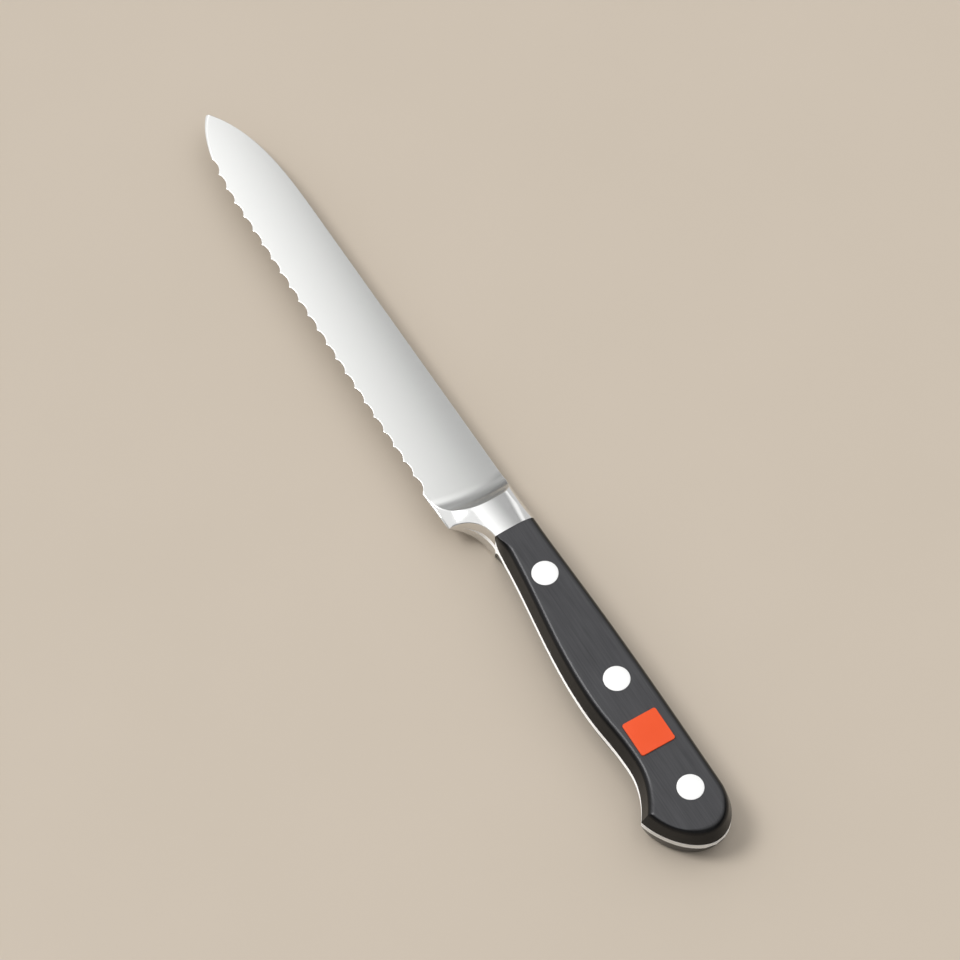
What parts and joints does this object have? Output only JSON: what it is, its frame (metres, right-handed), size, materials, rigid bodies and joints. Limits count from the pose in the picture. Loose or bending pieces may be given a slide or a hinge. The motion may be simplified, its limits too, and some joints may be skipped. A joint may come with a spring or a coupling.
{
  "type": "serrated utility knife",
  "caption": "Serrated utility knife with a forged steel blade, bolster and full tang in one piece, black riveted handle scales with a beaked butt, and a plain red square badge.",
  "frame": {"origin": "middle of the knife's length and height, on the flat of the right scale that it lies on", "axes": "+X from tip to butt, +Y from edge to spine, +Z from the right face to the left face with the badge"},
  "size_m": [0.2478, 0.0222, 0.0133],
  "materials": {
    "forged_steel": "satin blade, polished bolster",
    "scale_black": "fine lengthwise brushed, semi-matt",
    "rivet_steel": "polished flush",
    "badge_red": "smooth gloss"
  },
  "bodies": {
    "root": {"blade_and_tang": "forged_steel", "left_scale": "scale_black", "right_scale": "scale_black", "front_rivet_sleeve": "rivet_steel", "middle_rivet_sleeve": "rivet_steel", "rear_rivet_sleeve": "rivet_steel", "front_rivet_pin": "rivet_steel", "middle_rivet_pin": "rivet_steel", "rear_rivet_pin": "rivet_steel", "handle_badge": "badge_red"}
  },
  "joints": []
}
